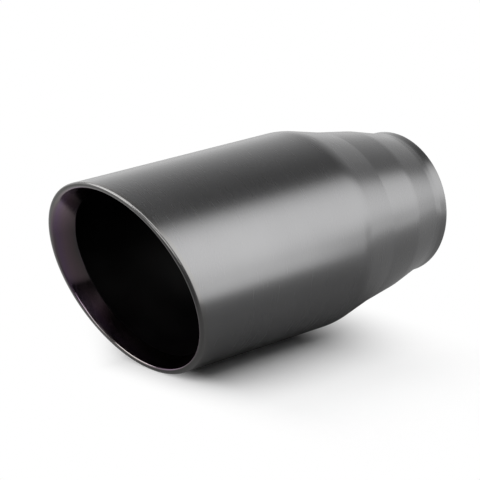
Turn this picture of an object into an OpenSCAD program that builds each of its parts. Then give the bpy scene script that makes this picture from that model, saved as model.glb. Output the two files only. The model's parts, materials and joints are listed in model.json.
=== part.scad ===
/* [Overall] */
// Length from the inlet face to the tip of the long lip
overall_len = 185; // [150:1:260]
// Outside diameter of the outlet barrel
outlet_d = 90; // [80:1:115]
// Thickness of the stainless sheet
wall = 1.2; // [0.8:0.1:2]

/* [Mouth] */
// Slant of the mouth away from a square cut, with the long lip on top
slash_angle = 20; // [0:1:30]
// Length of the folded-in leg, from the round nose back into the barrel
fold_depth = 10; // [5:0.5:14]
// How far that leg leans in, away from the barrel wall
fold_lean = 24; // [0:1:30]
// Gap left between the barrel wall and the leg at the nose
fold_gap = 0.4; // [0.2:0.1:1]

/* [Neck] */
// Length of the shoulder cone, next to the barrel
shoulder_len = 20.5; // [14:0.5:40]
// Length of the flatter waist cone
waist_len = 20; // [10:0.5:40]
// Length of the steeper throat cone
throat_len = 16; // [8:0.5:30]
// Length of the last taper, between the throat and the collar
lead_len = 3.5; // [3:0.1:10]
// Share of the neck's reduction made by the shoulder cone
shoulder_share = 0.37; // [0.3:0.01:0.45]
// Share of the neck's reduction made by the waist cone
waist_share = 0.255; // [0.15:0.005:0.28]
// Share of the neck's reduction made by the last taper; the throat makes what is left
lead_share = 0.05; // [0.02:0.005:0.08]
// Bend radius where the barrel turns into the shoulder cone
shoulder_r = 34; // [5:1:60]
// Bend radius of the hollow crease between the shoulder and the waist
crease_r = 16; // [3:1:40]
// Bend radius of the round ridge between the waist and the throat
ridge_r = 36; // [5:1:60]
// Bend radius where the throat runs out towards the inlet
throat_r = 18; // [3:1:30]

/* [Inlet] */
// Bore that slips over the tailpipe
inlet_bore = 63.5; // [50:0.5:70]
// Length of the parallel collar round that bore
collar_len = 4.5; // [3:0.5:15]
// Bend radius where the last taper meets the collar
collar_r = 12; // [2:1:30]
// Rounding of the outside edge of the inlet face
edge_r = 0.5; // [0.1:0.1:0.7]

/* [Hidden] */
outlet_r = outlet_d / 2;
bore_r = inlet_bore / 2;
collar_out_r = bore_r + wall;
reduction = outlet_r - collar_out_r;
throat_share = 1 - shoulder_share - waist_share - lead_share;
// The lip is the sheet turned back on itself, so its nose is half as wide as two walls and the gap
nose_r = wall + fold_gap / 2;
nose_ring_r = outlet_r - nose_r;
slant = tan(slash_angle);
// Axial reach of the nose past the centre of the mouth plane, at the top
lip_reach = slant * nose_ring_r + nose_r * sqrt(1 + slant * slant);
mouth_x = lip_reach - overall_len;
// The neck's tube starts just behind the fold at the bottom of the mouth, and shares a length of
// barrel with the mouth end
tube_x = mouth_x + slant * outlet_r + fold_depth + wall;
shared_len = 5;
neck_len = collar_len + lead_len + throat_len + waist_len + shoulder_len;
arc_steps = 10;
big = 2 * (overall_len + outlet_d);

// Outside corners of the neck as [x, radius, bend radius], from the barrel to the inlet face
function neck_corners() = let (
        x_throat_end = -collar_len - lead_len,
        x_ridge = x_throat_end - throat_len,
        x_crease = x_ridge - waist_len,
        r_throat_end = collar_out_r + lead_share * reduction,
        r_ridge = r_throat_end + throat_share * reduction,
        r_crease = r_ridge + waist_share * reduction)
    [
        [-neck_len, outlet_r, shoulder_r],
        [x_crease, r_crease, crease_r],
        [x_ridge, r_ridge, ridge_r],
        [x_throat_end, r_throat_end, throat_r],
        [-collar_len, collar_out_r, collar_r]
    ];

// Turn at corner i of an open run of points: positive where the run bends towards the axis
function heading(a, b) = atan2(a[1] - b[1], b[0] - a[0]);
function turn_at(run, i) = heading(run[i], run[i + 1]) - heading(run[i - 1], run[i]);

// The inside corner that keeps the sheet's thickness under corner i
function inside_corner(run, i) = let (
        before = heading(run[i - 1], run[i]),
        after = heading(run[i], run[i + 1]),
        mean = (before + after) / 2,
        reach = wall / cos((after - before) / 2),
        bend = run[i][2] - wall * sign(turn_at(run, i)))
    [run[i][0] - reach * sin(mean), run[i][1] - reach * cos(mean), bend];

// Rounds corner b between a and c with its own bend radius, or with what the sides have room for
function rounded(a, b, c) = let (
        p = [a[0] - b[0], a[1] - b[1]],
        q = [c[0] - b[0], c[1] - b[1]],
        inner = acos((p * q) / (norm(p) * norm(q))),
        room = min(norm(p), norm(q)) / 2,
        back = min(b[2] / tan(inner / 2), room),
        radius = back * tan(inner / 2),
        start = [b[0], b[1]] + p / norm(p) * back,
        to_centre = p / norm(p) + q / norm(q),
        centre = [b[0], b[1]] + to_centre / norm(to_centre) * radius / sin(inner / 2),
        first = atan2(start[1] - centre[1], start[0] - centre[0]),
        way = sign(p[0] * q[1] - p[1] * q[0]))
    [for (k = [0 : arc_steps])
        let (angle = first - way * (180 - inner) * k / arc_steps)
        centre + radius * [cos(angle), sin(angle)]];

// Outline of the closed run of corners, with a bend radius of 0 kept sharp
function outline(corners) = [for (i = [0 : len(corners) - 1])
    let (n = len(corners), a = corners[(i + n - 1) % n], b = corners[i], c = corners[(i + 1) % n])
    each (b[2] > 0 ? rounded(a, b, c) : [[b[0], b[1]]])];

// Turns a section drawn as [x, radius] round the X axis
module turned() {
    rotate([0, 90, 0]) rotate_extrude($fn = 180) rotate(90) mirror([0, 1]) children();
}

// Barrel behind the mouth and neck, in one sheet
module drawn_tube() {
    run = concat([[tube_x, outlet_r, 0]], neck_corners(), [[0, collar_out_r, edge_r]]);
    inside = [for (i = [len(run) - 2 : -1 : 1]) inside_corner(run, i)];
    turned() polygon(outline(concat(run, [[0, bore_r, 0]], inside, [[tube_x, outlet_r - wall, 0]])));
}

// The side of the nose that faces out of the mouth
module mouth_side() {
    translate([-2 * nose_r, -2 * nose_r]) square([2 * nose_r, 4 * nose_r]);
}

// Section of the folded mouth, with the mouth plane at x = 0: wall, round nose and leaning leg
module fold_section() {
    translate([0, outlet_r - wall]) square([2 * overall_len, wall]);
    translate([0, nose_ring_r]) {
        intersection() {
            difference() {
                circle(r = nose_r, $fn = 48);
                circle(r = fold_gap / 2, $fn = 24);
            }
            mouth_side();
            rotate(-fold_lean) mouth_side();
        }
        rotate(-fold_lean) translate([0, -nose_r]) square([fold_depth, wall]);
    }
}

// Mouth end of the barrel: sheared along its axis, which slants the mouth and leaves the tube round
module folded_mouth() {
    intersection() {
        multmatrix([[1, 0, -slant, mouth_x], [0, 1, 0, 0], [0, 0, 1, 0], [0, 0, 0, 1]])
            turned() fold_section();
        translate([tube_x + shared_len, -big / 2, -big / 2]) mirror([1, 0, 0]) cube(big);
    }
}

// The whole tip: one seamless sheet, slash cut, with its cut edge folded in
module tip_shell() {
    color("gray") union() {
        drawn_tube();
        folded_mouth();
    }
}

tip_shell();
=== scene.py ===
"""Exhaust tip: one dark satin steel tube, slash cut at the mouth and necked down at the inlet."""

import json
import math

import bmesh
import bpy
from mathutils import Matrix, Vector


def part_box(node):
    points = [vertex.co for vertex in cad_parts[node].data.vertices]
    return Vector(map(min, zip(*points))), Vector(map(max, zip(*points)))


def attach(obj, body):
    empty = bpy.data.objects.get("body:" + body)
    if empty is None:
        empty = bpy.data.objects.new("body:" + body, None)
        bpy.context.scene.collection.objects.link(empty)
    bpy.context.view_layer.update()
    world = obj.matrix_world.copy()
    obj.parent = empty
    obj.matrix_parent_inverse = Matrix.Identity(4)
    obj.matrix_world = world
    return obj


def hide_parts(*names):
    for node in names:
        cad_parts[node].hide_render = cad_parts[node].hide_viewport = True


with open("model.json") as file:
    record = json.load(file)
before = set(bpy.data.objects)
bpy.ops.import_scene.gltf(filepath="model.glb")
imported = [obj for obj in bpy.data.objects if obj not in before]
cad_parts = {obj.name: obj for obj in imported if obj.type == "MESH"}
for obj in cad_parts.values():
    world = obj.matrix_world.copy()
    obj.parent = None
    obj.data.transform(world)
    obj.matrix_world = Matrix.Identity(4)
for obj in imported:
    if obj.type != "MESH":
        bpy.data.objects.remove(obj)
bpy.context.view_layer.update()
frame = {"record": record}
low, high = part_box("tip_shell")

# Sizes of the tip in metres; its length, outlet and bore come from the frame
OUTLET_R = high.y
BORE_R = frame["record"]["mounts"][0]["dims"]["r_mm"] / 1000
LENGTH = high.x - low.x
WALL = 0.0012
SLASH_ANGLE = math.radians(20)
FOLD_DEPTH = 0.010
FOLD_LEAN = math.radians(24)
FOLD_GAP = 0.0004
COLLAR_LEN = 0.0045
LEAD_LEN = 0.0035
THROAT_LEN = 0.016
WAIST_LEN = 0.020
SHOULDER_LEN = 0.0205
SHOULDER_SHARE = 0.37
WAIST_SHARE = 0.255
LEAD_SHARE = 0.05
SHOULDER_BEND = 0.034
CREASE_BEND = 0.016
RIDGE_BEND = 0.036
THROAT_BEND = 0.018
COLLAR_BEND = 0.012
FACE_EDGE_R = 0.0005
LEG_EDGE_R = 0.0003

# The fold: half its thickness, the ring that its round nose turns about, and the mouth's centre
SLANT = math.tan(SLASH_ANGLE)
NOSE_R = WALL + FOLD_GAP / 2
NOSE_RING_R = OUTLET_R - NOSE_R
MOUTH_X = high.x - LENGTH + SLANT * NOSE_RING_R + NOSE_R * math.hypot(1, SLANT)
# The neck: its corner at the barrel, and the stretch of barrel before it that holds the bend
NECK_X = -COLLAR_LEN - LEAD_LEN - THROAT_LEN - WAIST_LEN - SHOULDER_LEN
BEND_ROOM = 0.0085
BEFORE_NECK_X = NECK_X - BEND_ROOM
COLLAR_R = BORE_R + WALL

# Fineness of the mesh: faces round the tube, then steps of each arc and stretch of its section
AROUND = 256
BEND_STEPS = 8
NOSE_STEPS = 20
GAP_STEPS = 6
FACE_EDGE_STEPS = 4
LEG_EDGE_STEPS = 3
BARREL_STEPS = 28
LONGEST_NECK_STEP = 0.0012
# Places of the stations behind the nose, in metres, and along the leg, in shares of its depth
BEHIND_NOSE = (0.002, 0.005)
LEG_SHARES = (0.95, 0.8, 0.6, 0.4, 0.2, 0.05)
# Steps of the nose, next to the leg, that carry the leg's film
FILM_STEPS = 5
# Bends over this angle are shaded as sharp edges
SHARP_BEND = math.radians(40)

# Camera: direction of view, place and focal length, from a fit to the photograph's outline
VIEW_AZIMUTH = math.radians(45.389)
VIEW_DOWN = math.radians(17.028)
VIEW_DISTANCE = 1.2
VIEW_ASIDE = 0.07135
VIEW_ABOVE = 0.01789
CLIP_START = 0.05
SENSOR = 36.0
PHOTO_WIDTH = 480
FOCAL_PIXELS = 2580.71

# The middle stretch of a noise's values, which is spread over the range that the noise drives
NOISE_SPAN = (0.3, 0.7)
# Noises: cells to the metre along x, y and z, and detail. The brushing is long round the tube
CLOUDS = (30, 30, 30), 2
BRUSHING = (2400, 45, 45), 3
LEG_CLOUDS = (60, 45, 45), 1
LEG_BRUSHING = (1500, 60, 60), 2
# Noises of the tube's near-black inside
INSIDE_CLOUDS = (60, 60, 60), 2
INSIDE_GRAIN = (900, 900, 900), 2
# Strengths of their bump, and its depth in metres
SATIN_BUMP = 0.008
LEG_BUMP = 0.05
INSIDE_BUMP = 0.1
BUMP_DEPTH = 0.00002

# The coats: colours and roughness, from the lowest to the highest
SATIN_COLOURS = ((0.194, 0.194, 0.196), (0.206, 0.206, 0.208))
SATIN_ROUGHNESS = (0.262, 0.274)
LIP_COLOURS = ((0.19, 0.187, 0.184), (0.21, 0.207, 0.204))
LIP_ROUGHNESS = (0.24, 0.27)
LEG_ROUGHNESS = (0.12, 0.16)
# The tube's inside: plain near-black colours, roughness and IOR
INSIDE_COLOURS = ((0.0022, 0.0018, 0.0022), (0.004, 0.0034, 0.0038))
INSIDE_ROUGHNESS = (0.35, 0.45)
INSIDE_IOR = 1.25
# The leg's film, by share of the way from the nose to its inner end, and how far clouds shift it.
# Its hue is the coat's tint; its darkening towards the inner end is painted shade of the mouth's
# hollow
FILM_AND_SHADE = (
    (0.0, (0.205, 0.187, 0.183)),
    (0.08, (0.198, 0.160, 0.185)),
    (0.20, (0.200, 0.138, 0.215)),
    (0.45, (0.195, 0.140, 0.170)),
    (0.77, (0.145, 0.116, 0.122)),
    (0.96, (0.092, 0.094, 0.096)),
)
FILM_SHIFT = (-0.08, 0.12)

FLOOR_Z = low.z
FLOOR_REACH = 6.0
PAPER = 0.93
PAPER_ROUGHNESS = 0.8
# The floor's brightness as the coat reflects it, painted in for glossy rays alone: beside the barrel,
# before the mouth, beside the neck, past the neck and behind the tip, and the share of it that is
# left in front of the mouth
SHADE_REFLECTED = 0.29
MOUTH_REFLECTED = 0.24
NECK_REFLECTED = 0.38
PAST_NECK_REFLECTED = 0.68
BEHIND_REFLECTED = 0.8
FRONT_SHARE = 0.6
# Where those fade into each other, along x
MOUTH_TO_NECK = (-0.165, -0.14)
NECK_TO_PAST = (0, 0.25)
FRONT_TO_MOUTH = (-0.215, -0.185)
# And along y, where the painted reflection of the floor near the camera is dark to the coat
SIDE_TO_BEHIND = (-0.04, 0.09)
NEAR_CAMERA = (-0.6, -0.25)
# The shadow zone, where the floor is paper: its four sides, each as a fade in metres
ZONE_MOUTH_END = (-0.17, -0.137)
ZONE_NECK_END = (-0.08, -0.02)
ZONE_NEAR_SIDE = (-0.16, -0.08)
ZONE_FAR_SIDE = (0.1, 0.18)
# Behind the tip the zone's mouth end draws back, and in reflections its neck end reaches further
DRAWS_BACK_OVER = (0.02, 0.2)
DRAWS_BACK_BY = 0.13
REFLECTED_FURTHER = 0.04

# Lamps for the floor, which no reflection shows: name, azimuth and elevation in degrees, width,
# height and radiance
FLOOR_LAMP_DISTANCE = 2.5
FLOOR_LAMPS = (
    ("overhead", -90, 77, 9.0, 3.2, 1.10),
    ("rear", 90, 50, 9.0, 1.2, 0.6),
    ("mouth_end", 180, 32, 1.6, 3.0, 2.3),
    ("inlet_end", 0, 32, 1.6, 3.0, 1.4),
)
# Panels that only reflections show: name, place, the point that it faces, width, height, radiance
PANELS = (
    ("top", (-0.11, 0.1, 0.5), (-0.11, 0.1, 0), 0.30, 1.12, 2.7),
    ("front_top", (-0.66, 0.3, 0.5), (-0.66, 0.3, 0), 0.6, 0.8, 3.6),
    ("front_side", (-0.91, -0.63, 0.24), (-0.165, 0, 0.24), 1.1, 0.5, 2.4),
    ("front_fill", (-0.32, -0.28, 0.5), (-0.32, -0.28, 0), 0.16, 0.34, 0.8),
)
# The softbox beside the tube, turned a little in its own plane
SOFTBOX_PLACE = Vector((0.396, -0.15, 0.176))
SOFTBOX_WIDTH = 1.15
SOFTBOX_HEIGHT = 0.484
SOFTBOX_RADIANCE = 2.38
SOFTBOX_TURN = math.radians(9.9)
# Its soft edges, as shares of its width from the mouth's end and of its height from below
NEAR_END = (0.0, 0.065)
FAR_END = (0.113, 1.45)
BOTTOM_EDGE = (-0.006, 0.413)
TOP_EDGE = (0.494, 1.023)
# Its bottom edge is lower towards the far end, and lifted beside the end of the barrel
LOWERED_OVER = (0.2, 0.45)
LOWERED_BY = 0.12
LIFTED_FROM = (0.132, 0.172)
LIFTED_TO = (0.2, 0.3)
LIFTED_EDGE = (0.15, 0.35)

# The room that the coat reflects: its level by height, with a darker ceiling
ROOM_HEIGHTS = (-0.2, 0.75)
ROOM_LEVELS = (0.79, 0.25)
CEILING_HEIGHTS = (0.5, 0.85)
CEILING_SHARE = 0.5
# It is brightest at this azimuth, in degrees, and darker all through its front half
ROOM_BACK = 82
ROOM_FRONT_TO_BACK = (0.003, 1.997)
FRONT_HALF = (0, 0.4)
FRONT_HALF_SHARE = 0.62
ROOM_ON_FLOOR = 0.05


def heading(a, b):
    return math.atan2(b[1] - a[1], b[0] - a[0])


def arc_at(a, b, c, radius, steps=BEND_STEPS):
    """Points of the arc that rounds corner b between a and c."""
    to_a = (Vector(a) - Vector(b)).normalized()
    to_c = (Vector(c) - Vector(b)).normalized()
    half = to_a.angle(to_c) / 2
    centre = Vector(b) + (to_a + to_c).normalized() * radius / math.sin(half)
    start = Vector(b) + to_a * radius / math.tan(half) - centre
    sweep = math.pi - 2 * half
    turn = math.copysign(1, to_a.x * to_c.y - to_a.y * to_c.x)
    points = []
    for k in range(steps + 1):
        angle = -turn * sweep * k / steps
        points.append(tuple(centre + Matrix.Rotation(angle, 2) @ start))
    return points


def inner_corner(before, corner, after, radius):
    """The corner of the inside surface, one wall under an outside corner, with its bend radius."""
    first, second = heading(before, corner), heading(corner, after)
    mean = (first + second) / 2
    reach = WALL / math.cos((second - first) / 2)
    grow = WALL if second > first else -WALL
    return (corner[0] + reach * math.sin(mean), corner[1] - reach * math.cos(mean)), radius + grow


def neck_corners():
    """Outside corners of the neck as ((x, radius), bend radius), from the barrel to the inlet."""
    reduction = OUTLET_R - COLLAR_R
    throat_share = 1 - SHOULDER_SHARE - WAIST_SHARE - LEAD_SHARE
    throat_end = (-COLLAR_LEN - LEAD_LEN, COLLAR_R + LEAD_SHARE * reduction)
    ridge = (throat_end[0] - THROAT_LEN, throat_end[1] + throat_share * reduction)
    crease = (ridge[0] - WAIST_LEN, ridge[1] + WAIST_SHARE * reduction)
    return [
        ((NECK_X, OUTLET_R), SHOULDER_BEND),
        (crease, CREASE_BEND),
        (ridge, RIDGE_BEND),
        (throat_end, THROAT_BEND),
        ((-COLLAR_LEN, COLLAR_R), COLLAR_BEND),
    ]


def rounded_run(corners):
    """Points along a run of ((x, radius), bend radius), with long straight stretches cut up."""
    points = [corners[0][0]]
    for (a, _), (b, bend), (c, _) in zip(corners, corners[1:], corners[2:]):
        points += arc_at(a, b, c, bend)
    points.append(corners[-1][0])
    run = [points[0]]
    for a, b in zip(points, points[1:]):
        cuts = max(1, math.ceil(math.dist(a, b) / LONGEST_NECK_STEP))
        run += [tuple(Vector(a).lerp(Vector(b), k / cuts)) for k in range(1, cuts + 1)]
    return run


def neck_profiles():
    """Points from the barrel to the inlet: the outside with the face's rounded edge, the inside."""
    face_top, face_bottom = (0, COLLAR_R), (0, BORE_R)
    corners = [((BEFORE_NECK_X, OUTLET_R), 0)] + neck_corners() + [(face_top, 0)]
    inside = [
        inner_corner(corners[i - 1][0], corners[i][0], corners[i + 1][0], corners[i][1])
        for i in range(1, len(corners) - 1)
    ]
    edge = arc_at(corners[-2][0], face_top, face_bottom, FACE_EDGE_R, FACE_EDGE_STEPS)
    outer = [p for p in rounded_run(corners)[:-1] if p[0] < edge[0][0]] + edge
    inner = rounded_run([((BEFORE_NECK_X, OUTLET_R - WALL), 0)] + inside + [(face_bottom, 0)])
    return outer, inner


def barrel_run(radius):
    """Stations along the plain barrel: the slant of the mouth dies away towards the neck."""
    start_x = MOUTH_X + FOLD_DEPTH + WALL
    run = []
    for k in range(BARREL_STEPS + 1):
        share = k / BARREL_STEPS
        run.append((start_x + (BEFORE_NECK_X - start_x) * share, radius, 1 - share))
    return run


def half_circle(radius, steps, start, end):
    """Points on the nose's half circle, with angles in degrees from the +x direction."""
    angles = [math.radians(start + (end - start) * k / steps) for k in range(steps + 1)]
    return [(MOUTH_X + radius * math.cos(a), NOSE_RING_R + radius * math.sin(a)) for a in angles]


def leg_point(along, off):
    """A point of the folded-in leg, by its distance from the nose and from the fold's middle."""
    lean, fall = math.sin(FOLD_LEAN), math.cos(FOLD_LEAN)
    return MOUTH_X + along * fall - off * lean, NOSE_RING_R - along * lean - off * fall


def leg_end():
    """Points round the leg's inner end, from its hidden side to its shown side."""
    hidden, shown = FOLD_GAP / 2, NOSE_R
    hidden_end, shown_end = leg_point(FOLD_DEPTH, hidden), leg_point(FOLD_DEPTH, shown)
    points = arc_at(leg_point(0, hidden), hidden_end, shown_end, LEG_EDGE_R, LEG_EDGE_STEPS)
    points += arc_at(hidden_end, shown_end, leg_point(0, shown), LEG_EDGE_R, LEG_EDGE_STEPS)
    return points


def shell_stations():
    """The shell's closed section as (x, radius, slant share, surface name), once round."""
    outer_neck, inner_neck = neck_profiles()
    leg_turn = 270 - math.degrees(FOLD_LEAN)
    nose = half_circle(NOSE_R, NOSE_STEPS, leg_turn, 90)
    gap = half_circle(FOLD_GAP / 2, GAP_STEPS, 90, leg_turn)
    end = leg_end()
    leg = [leg_point(FOLD_DEPTH * share, NOSE_R) for share in LEG_SHARES]
    stations = [(*p, 1, "leg") for p in nose[:FILM_STEPS]]
    stations += [(*p, 1, "lip") for p in nose[FILM_STEPS:]]
    stations += [(MOUTH_X + d, OUTLET_R, 1, "outside") for d in BEHIND_NOSE]
    stations += [(*s, "outside") for s in barrel_run(OUTLET_R)]
    stations += [(*p, 0, "outside") for p in outer_neck[1:]]
    stations += [(*p, 0, "inside") for p in reversed(inner_neck)]
    stations += [(*s, "inside") for s in reversed(barrel_run(OUTLET_R - WALL)[:-1])]
    stations += [(*p, 1, "inside") for p in gap + end[:-1]]
    stations += [(*p, 1, "leg") for p in end[-1:] + leg]
    return stations


def turned_mesh(stations, slots):
    """The section turned about the x axis, sheared by each station's share of the mouth's slant."""
    mesh = bpy.data.meshes.new("tip_sheet")
    shape = bmesh.new()
    rings = []
    for x, radius, share, _ in stations:
        ring = []
        for j in range(AROUND):
            angle = 2 * math.pi * j / AROUND
            y, z = radius * math.sin(angle), radius * math.cos(angle)
            ring.append(shape.verts.new((x - share * SLANT * z, y, z)))
        rings.append(ring)
    for i, station in enumerate(stations):
        near, far = rings[i], rings[(i + 1) % len(rings)]
        for j in range(AROUND):
            k = (j + 1) % AROUND
            face = shape.faces.new((near[j], near[k], far[k], far[j]))
            face.smooth = True
            face.material_index = slots.index(station[3])
    bmesh.ops.recalc_face_normals(shape, faces=shape.faces)
    shape.to_mesh(mesh)
    shape.free()
    mesh.set_sharp_from_angle(angle=SHARP_BEND)
    return mesh


def build_shell(materials):
    """The whole tip as one closed mesh, with a material for each surface."""
    mesh = turned_mesh(shell_stations(), list(materials))
    for material in materials.values():
        mesh.materials.append(material)
    sheet = bpy.data.objects.new("tip_sheet", mesh)
    bpy.context.scene.collection.objects.link(sheet)
    return sheet


def new_material(name):
    material = bpy.data.materials.new(name)
    material.use_nodes = True
    return material, material.node_tree, material.node_tree.nodes["Principled BSDF"]


def fade(tree, value, low_from, high_from, low_to=0.0, high_to=1.0, kind="SMOOTHSTEP"):
    """A node that maps a value from one range onto another, and holds it there."""
    node = tree.nodes.new("ShaderNodeMapRange")
    node.interpolation_type = kind
    node.inputs["From Min"].default_value = low_from
    node.inputs["From Max"].default_value = high_from
    node.inputs["To Min"].default_value = low_to
    node.inputs["To Max"].default_value = high_to
    tree.links.new(value, node.inputs["Value"])
    return node.outputs["Result"]


def combine(tree, operation, a, b):
    node = tree.nodes.new("ShaderNodeMath")
    node.operation = operation
    tree.links.new(a, node.inputs[0])
    tree.links.new(b, node.inputs[1])
    return node.outputs["Value"]


def multiply(tree, a, b):
    return combine(tree, "MULTIPLY", a, b)


def larger(tree, a, b):
    return combine(tree, "MAXIMUM", a, b)


def parts_of(tree, vector):
    """The x, y and z of a vector."""
    split = tree.nodes.new("ShaderNodeSeparateXYZ")
    tree.links.new(vector, split.inputs["Vector"])
    return split.outputs["X"], split.outputs["Y"], split.outputs["Z"]


def along_axis(tree, vector, axis):
    """How far a vector reaches along an axis."""
    node = tree.nodes.new("ShaderNodeVectorMath")
    node.operation = "DOT_PRODUCT"
    node.inputs[1].default_value = axis
    tree.links.new(vector, node.inputs[0])
    return node.outputs["Value"]


def stretched_noise(tree, stretch, detail):
    """Noise over the object's own coordinates, with that many cells to the metre each way."""
    where = tree.nodes.new("ShaderNodeTexCoord")
    scaled = tree.nodes.new("ShaderNodeVectorMath")
    scaled.operation = "MULTIPLY"
    scaled.inputs[1].default_value = stretch
    noise = tree.nodes.new("ShaderNodeTexNoise")
    noise.inputs["Scale"].default_value = 1
    noise.inputs["Detail"].default_value = detail
    tree.links.new(where.outputs["Object"], scaled.inputs[0])
    tree.links.new(scaled.outputs["Vector"], noise.inputs["Vector"])
    return noise.outputs["Fac"]


def tint(tree, value, stops):
    """A colour for a value between 0 and 1, from ((value, colour), ...)."""
    node = tree.nodes.new("ShaderNodeValToRGB")
    ramp = node.color_ramp
    while len(ramp.elements) < len(stops):
        ramp.elements.new(1.0)
    for element, (place, colour) in zip(ramp.elements, stops):
        element.position = place
        element.color = (*colour, 1)
    tree.links.new(value, node.inputs["Fac"])
    return node.outputs["Color"]


def add_bump(tree, shader, value, strength):
    bump = tree.nodes.new("ShaderNodeBump")
    bump.inputs["Strength"].default_value = strength
    bump.inputs["Distance"].default_value = BUMP_DEPTH
    tree.links.new(value, bump.inputs["Height"])
    tree.links.new(bump.outputs["Normal"], shader.inputs["Normal"])


def brushed_coat(name, colours, roughness):
    """Dark metal coat over fine brushing that runs round the tube."""
    material, tree, shader = new_material(name)
    shader.inputs["Metallic"].default_value = 1
    cloud = stretched_noise(tree, *CLOUDS)
    colour = tint(tree, cloud, tuple(zip(NOISE_SPAN, colours)))
    tree.links.new(colour, shader.inputs["Base Color"])
    grain = stretched_noise(tree, *BRUSHING)
    tree.links.new(fade(tree, grain, *NOISE_SPAN, *roughness), shader.inputs["Roughness"])
    add_bump(tree, shader, grain, SATIN_BUMP)
    return material


def leg_coat():
    """Folded-in leg, where the coat's film turns from purple by the nose to brown and grey inside,
    darkening inwards as painted shade.
    """
    material, tree, shader = new_material("leg_coat")
    shader.inputs["Metallic"].default_value = 1
    where = tree.nodes.new("ShaderNodeTexCoord")
    depth = along_axis(tree, where.outputs["Object"], (1, 0, SLANT))
    inner_end = MOUTH_X + FOLD_DEPTH * math.cos(FOLD_LEAN)
    share = fade(tree, depth, MOUTH_X - NOSE_R, inner_end, kind="LINEAR")
    cloud = stretched_noise(tree, *LEG_CLOUDS)
    shift = fade(tree, cloud, *NOISE_SPAN, *FILM_SHIFT, "LINEAR")
    # The film's ramp darkens towards the leg's inner end: painted shade over the coat's own tint.
    tree.links.new(tint(tree, combine(tree, "ADD", share, shift), FILM_AND_SHADE), shader.inputs["Base Color"])
    grain = stretched_noise(tree, *LEG_BRUSHING)
    tree.links.new(fade(tree, grain, *NOISE_SPAN, *LEG_ROUGHNESS), shader.inputs["Roughness"])
    add_bump(tree, shader, grain, LEG_BUMP)
    return material


def inside_coat():
    """Near-black inside of the tube."""
    material, tree, shader = new_material("inside_coat")
    shader.inputs["IOR"].default_value = INSIDE_IOR
    cloud = stretched_noise(tree, *INSIDE_CLOUDS)
    colour = tint(tree, cloud, tuple(zip(NOISE_SPAN, INSIDE_COLOURS)))
    tree.links.new(colour, shader.inputs["Base Color"])
    tree.links.new(fade(tree, cloud, *NOISE_SPAN, *INSIDE_ROUGHNESS), shader.inputs["Roughness"])
    add_bump(tree, shader, stretched_noise(tree, *INSIDE_GRAIN), INSIDE_BUMP)
    return material


def shadow_zone(tree, x, y, glossy):
    """1 in the zone that keeps the barrel's shadow, 0 outside it."""
    further = fade(tree, glossy, 0, 1, 0, REFLECTED_FURTHER, "LINEAR")
    neck_end = fade(tree, combine(tree, "SUBTRACT", x, further), *ZONE_NECK_END, 1, 0)
    drawn_back = fade(tree, y, *DRAWS_BACK_OVER, 0, DRAWS_BACK_BY, "LINEAR")
    mouth_end = fade(tree, combine(tree, "SUBTRACT", x, drawn_back), *ZONE_MOUTH_END)
    along = multiply(tree, mouth_end, neck_end)
    across = multiply(tree, fade(tree, y, *ZONE_NEAR_SIDE), fade(tree, y, *ZONE_FAR_SIDE, 1, 0))
    return multiply(tree, along, across)


def reflected_floor(tree, x, y):
    """The floor's brightness outside that zone, as the coat reflects it: a painted glow for glossy
    rays.
    """
    brighter = PAST_NECK_REFLECTED / NECK_REFLECTED
    beside = fade(tree, x, *MOUTH_TO_NECK, MOUTH_REFLECTED, NECK_REFLECTED)
    beside = multiply(tree, beside, fade(tree, x, *NECK_TO_PAST, 1, brighter))
    level = larger(tree, beside, fade(tree, y, *SIDE_TO_BEHIND, 0, BEHIND_REFLECTED))
    level = multiply(tree, level, fade(tree, x, *FRONT_TO_MOUTH, FRONT_SHARE, 1))
    return multiply(tree, fade(tree, y, *NEAR_CAMERA), level)


def floor_paper():
    """Pale paper in the barrel's shadow, and plain white further out, as in the photograph."""
    material, tree, shader = new_material("floor_paper")
    path = tree.nodes.new("ShaderNodeLightPath")
    camera, glossy = path.outputs["Is Camera Ray"], path.outputs["Is Glossy Ray"]
    # To glossy rays the paper in the zone is darker than to the camera: painted shade.
    paper = tint(tree, glossy, ((0, (PAPER,) * 3), (1, (SHADE_REFLECTED,) * 3)))
    tree.links.new(paper, shader.inputs["Base Color"])
    shader.inputs["Roughness"].default_value = PAPER_ROUGHNESS
    shader.inputs["Specular IOR Level"].default_value = 0
    spot = tree.nodes.new("ShaderNodeNewGeometry")
    x, y, _ = parts_of(tree, spot.outputs["Position"])
    reflected = multiply(tree, glossy, reflected_floor(tree, x, y))
    white = tree.nodes.new("ShaderNodeEmission")
    tree.links.new(larger(tree, camera, reflected), white.inputs["Strength"])
    blend = tree.nodes.new("ShaderNodeMixShader")
    tree.links.new(shadow_zone(tree, x, y, glossy), blend.inputs["Fac"])
    tree.links.new(white.outputs["Emission"], blend.inputs[1])
    tree.links.new(shader.outputs["BSDF"], blend.inputs[2])
    tree.links.new(blend.outputs["Shader"], tree.nodes["Material Output"].inputs["Surface"])
    return material


def add_floor():
    mesh = bpy.data.meshes.new("floor")
    corners = [(-1, -1), (1, -1), (1, 1), (-1, 1)]
    points = [(x * FLOOR_REACH, y * FLOOR_REACH, FLOOR_Z) for x, y in corners]
    mesh.from_pydata(points, [], [(0, 1, 2, 3)])
    floor = bpy.data.objects.new("floor", mesh)
    bpy.context.scene.collection.objects.link(floor)
    mesh.materials.append(floor_paper())


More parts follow.
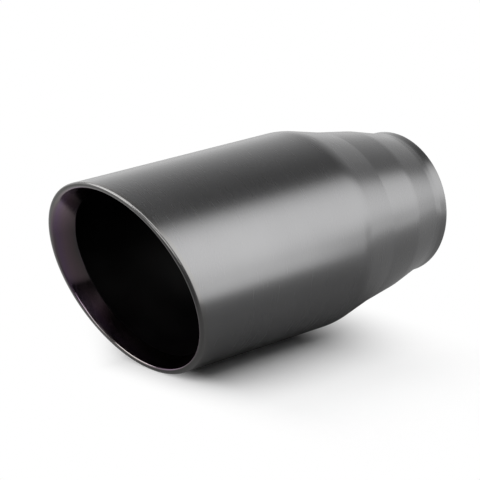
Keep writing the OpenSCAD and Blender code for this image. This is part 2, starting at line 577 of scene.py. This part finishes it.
def add_camera():
    along = Vector((
        math.cos(VIEW_AZIMUTH) * math.cos(VIEW_DOWN),
        math.sin(VIEW_AZIMUTH) * math.cos(VIEW_DOWN),
        -math.sin(VIEW_DOWN)))
    right = Vector((math.sin(VIEW_AZIMUTH), -math.cos(VIEW_AZIMUTH), 0))
    up = right.cross(along)
    data = bpy.data.cameras.new("camera")
    data.sensor_width = SENSOR
    data.lens = FOCAL_PIXELS / PHOTO_WIDTH * SENSOR
    data.clip_start = CLIP_START
    camera = bpy.data.objects.new("camera", data)
    turn = Matrix((right, up, -along)).transposed().to_4x4()
    place = -VIEW_DISTANCE * along - VIEW_ASIDE * right - VIEW_ABOVE * up
    camera.matrix_world = Matrix.Translation(place) @ turn
    bpy.context.scene.collection.objects.link(camera)
    bpy.context.scene.camera = camera


def direction(azimuth, elevation):
    azimuth, elevation = math.radians(azimuth), math.radians(elevation)
    flat = math.cos(elevation)
    return Vector((flat * math.cos(azimuth), flat * math.sin(azimuth), math.sin(elevation)))


def add_lamp(name, place, aim, width, height, radiance, lights_floor):
    """A rectangular lamp at a place, facing a point, with its width along x; 1 shows as white."""
    data = bpy.data.lights.new(name, "AREA")
    data.shape = "RECTANGLE"
    data.size = width
    data.size_y = height
    data.energy = radiance * math.pi * width * height
    back = (Vector(place) - Vector(aim)).normalized()
    side = (Vector((1, 0, 0)) - back * back.x).normalized()
    turn = Matrix((side, back.cross(side), back)).transposed().to_4x4()
    lamp = bpy.data.objects.new(name, data)
    lamp.matrix_world = Matrix.Translation(place) @ turn
    lamp.visible_camera = False
    lamp.visible_diffuse = lights_floor
    lamp.visible_glossy = not lights_floor
    bpy.context.scene.collection.objects.link(lamp)
    return lamp


def softbox_level(tree, along, across):
    """The softbox's brightness over its face: soft at its edges, fading towards its far end."""
    ends = multiply(tree, fade(tree, along, *NEAR_END), fade(tree, along, *FAR_END, 1, 0, "LINEAR"))
    lowered = fade(tree, along, *LOWERED_OVER, 0, LOWERED_BY, "LINEAR")
    bottom = fade(tree, combine(tree, "ADD", across, lowered), *BOTTOM_EDGE)
    beside_end = multiply(tree, fade(tree, along, *LIFTED_FROM), fade(tree, along, *LIFTED_TO, 1, 0))
    lifted = multiply(tree, beside_end, fade(tree, across, *LIFTED_EDGE, 1, 0))
    bottom = multiply(tree, bottom, fade(tree, lifted, 0, 1, 1, 0, "LINEAR"))
    top = fade(tree, across, *TOP_EDGE, 1, 0)
    return multiply(tree, ends, multiply(tree, bottom, top))


def add_softbox():
    """The long softbox beside the tube, which the coat shows as its bright band."""
    aim = SOFTBOX_PLACE + Vector((0, 1, 0))
    softbox = add_lamp(
        "side", SOFTBOX_PLACE, aim, SOFTBOX_WIDTH, SOFTBOX_HEIGHT, SOFTBOX_RADIANCE, False)
    softbox.matrix_world = softbox.matrix_world @ Matrix.Rotation(SOFTBOX_TURN, 4, "Z")
    softbox.data.use_nodes = True
    tree = softbox.data.node_tree
    spot = tree.nodes.new("ShaderNodeNewGeometry")
    along, across, _ = parts_of(tree, spot.outputs["Parametric"])
    level = softbox_level(tree, along, across)
    tree.links.new(level, tree.nodes["Emission"].inputs["Strength"])


def add_lamps():
    middle = Vector(((low.x + high.x) / 2, 0, 0))
    for name, azimuth, elevation, width, height, radiance in FLOOR_LAMPS:
        place = middle + direction(azimuth, elevation) * FLOOR_LAMP_DISTANCE
        add_lamp(name, place, middle, width, height, radiance, True)
    add_softbox()
    for name, place, aim, width, height, radiance in PANELS:
        add_lamp(name, place, aim, width, height, radiance, False)


def room_level(tree, ray):
    """The room's brightness in the direction of a ray, as the coat reflects it."""
    _, _, height = parts_of(tree, ray)
    upward = fade(tree, height, *ROOM_HEIGHTS, *ROOM_LEVELS, "LINEAR")
    upward = multiply(tree, upward, fade(tree, height, *CEILING_HEIGHTS, 1, CEILING_SHARE))
    facing = along_axis(tree, ray, direction(ROOM_BACK, 0))
    around = fade(tree, facing, -1, 1, *ROOM_FRONT_TO_BACK, "LINEAR")
    around = multiply(tree, around, fade(tree, facing, *FRONT_HALF, FRONT_HALF_SHARE, 1))
    return multiply(tree, upward, around)


def add_world():
    """A white room, dark above and in front of the tube, that lights the floor only faintly."""
    world = bpy.data.worlds.new("studio")
    world.use_nodes = True
    tree = world.node_tree
    path = tree.nodes.new("ShaderNodeLightPath")
    where = tree.nodes.new("ShaderNodeTexCoord")
    level = room_level(tree, where.outputs["Generated"])
    reflected = multiply(tree, level, path.outputs["Is Glossy Ray"])
    shown = larger(tree, path.outputs["Is Camera Ray"], path.outputs["Is Transmission Ray"])
    seen = larger(tree, shown, reflected)
    faint = fade(tree, path.outputs["Is Diffuse Ray"], 0, 1, 0, ROOM_ON_FLOOR, "LINEAR")
    background = tree.nodes["Background"]
    tree.links.new(larger(tree, seen, faint), background.inputs["Strength"])
    background.inputs["Color"].default_value = (1, 1, 1, 1)
    bpy.context.scene.world = world


add_floor()
add_camera()
add_world()
add_lamps()
sheet = build_shell({
    "outside": brushed_coat("satin_coat", SATIN_COLOURS, SATIN_ROUGHNESS),
    "lip": brushed_coat("lip_coat", LIP_COLOURS, LIP_ROUGHNESS),
    "leg": leg_coat(),
    "inside": inside_coat(),
})
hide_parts("tip_shell")
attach(sheet, "root")

bpy.context.scene.view_settings.view_transform = "Standard"
